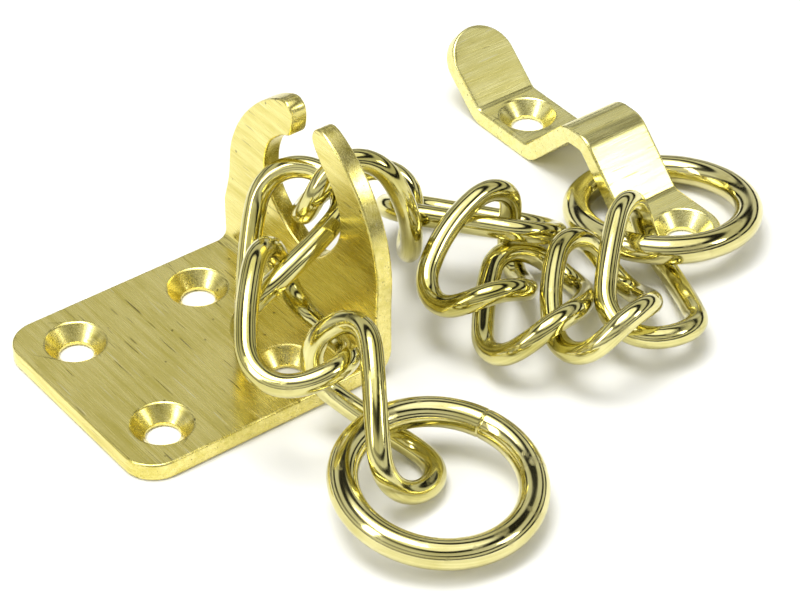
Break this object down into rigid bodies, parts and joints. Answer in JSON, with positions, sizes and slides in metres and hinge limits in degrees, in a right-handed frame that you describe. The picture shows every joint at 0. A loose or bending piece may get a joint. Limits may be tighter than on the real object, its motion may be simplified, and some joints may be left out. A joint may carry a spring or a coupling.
{
  "type": "door chain guard",
  "caption": "Brass door chain guard: forked hook plate, twisted-link chain, end ring, and a ring held under a humped staple bracket.",
  "frame": {"origin": "centre of the hook plate's back face, which lies on the door", "axes": "+Z away from the door, +X along the plate towards its fork, +Y across the plate"},
  "size_m": [0.0994, 0.0854, 0.0326],
  "materials": {
    "sheet_brass": "bright lacquered brass sheet, finely lined",
    "wire_brass": "polished brass wire"
  },
  "bodies": {
    "hook_plate": {"hook_plate": "sheet_brass"},
    "chain_link_1": {"chain_link_1": "wire_brass"},
    "chain_link_2": {"chain_link_2": "wire_brass"},
    "chain_link_3": {"chain_link_3": "wire_brass"},
    "chain_link_4": {"chain_link_4": "wire_brass"},
    "chain_link_5": {"chain_link_5": "wire_brass"},
    "chain_link_6": {"chain_link_6": "wire_brass"},
    "chain_link_7": {"chain_link_7": "wire_brass"},
    "chain_link_8": {"chain_link_8": "wire_brass"},
    "chain_link_9": {"chain_link_9": "wire_brass"},
    "end_ring": {"end_ring": "wire_brass"},
    "staple_ring": {"staple_ring": "wire_brass"},
    "staple_bracket": {"staple_bracket": "sheet_brass"}
  },
  "joints": [
    {"name": "slot_swing", "type": "hinge", "parent": "hook_plate", "child": "chain_link_3", "pos_m": [0.0178, -0.002, 0.01005], "axis": [-0.3071, -0.9274, -0.2135], "range_deg": [0, 8]},
    {"name": "chain_link_2_swing", "type": "hinge", "parent": "chain_link_3", "child": "chain_link_2", "pos_m": [0.00881, -0.0091, 0.01653], "axis": [0.0104, 0.9508, -0.3096], "range_deg": [-20, 25]},
    {"name": "chain_link_1_swing", "type": "hinge", "parent": "chain_link_2", "child": "chain_link_1", "pos_m": [0.00822, -0.02165, 0.01225], "axis": [-0.0043, 0.5044, -0.8635], "range_deg": [-35, 8]},
    {"name": "end_ring_swing", "type": "hinge", "parent": "chain_link_1", "child": "end_ring", "pos_m": [0.00939, -0.02826, 0.00292], "axis": [-0.1297, 0.567, -0.8135], "range_deg": [-15, 35]},
    {"name": "chain_link_4_swing", "type": "hinge", "parent": "chain_link_3", "child": "chain_link_4", "pos_m": [0.02104, -0.00333, 0.01977], "axis": [-0.1767, -0.9393, -0.2942], "range_deg": [0, 45]},
    {"name": "chain_link_5_swing", "type": "hinge", "parent": "chain_link_4", "child": "chain_link_5", "pos_m": [0.03653, 0.00151, 0.0083], "axis": [0.155, 0.1015, -0.9827], "range_deg": [-15, 2]},
    {"name": "chain_link_6_swing", "type": "hinge", "parent": "chain_link_5", "child": "chain_link_6", "pos_m": [0.03875, -0.00749, 0.00935], "axis": [-0.2564, 0.144, -0.9558], "range_deg": [-8, 2]},
    {"name": "chain_link_7_swing", "type": "hinge", "parent": "chain_link_6", "child": "chain_link_7", "pos_m": [0.0436, -0.01208, 0.0016], "axis": [0.0467, -0.326, 0.9442], "range_deg": [0, 20]},
    {"name": "chain_link_8_swing", "type": "hinge", "parent": "chain_link_7", "child": "chain_link_8", "pos_m": [0.03951, -0.02918, 0.00814], "axis": [-0.8309, 0.4431, 0.3365], "range_deg": [-45, 0]},
    {"name": "chain_link_9_swing", "type": "hinge", "parent": "chain_link_8", "child": "chain_link_9", "pos_m": [0.04726, -0.03479, 0.00906], "axis": [-0.8264, -0.2962, 0.4788], "range_deg": [-45, 0]},
    {"name": "staple_ring_swing", "type": "hinge", "parent": "chain_link_9", "child": "staple_ring", "pos_m": [0.05968, -0.02503, 0.0016], "axis": [0.1545, -0.933, -0.325], "range_deg": [0, 45]},
    {"name": "staple_bracket_swing", "type": "hinge", "parent": "staple_ring", "child": "staple_bracket", "pos_m": [0.06659, -0.00349, 0.00228], "axis": [-0.8199, 0.5399, -0.1904], "range_deg": [-10, 0]}
  ]
}
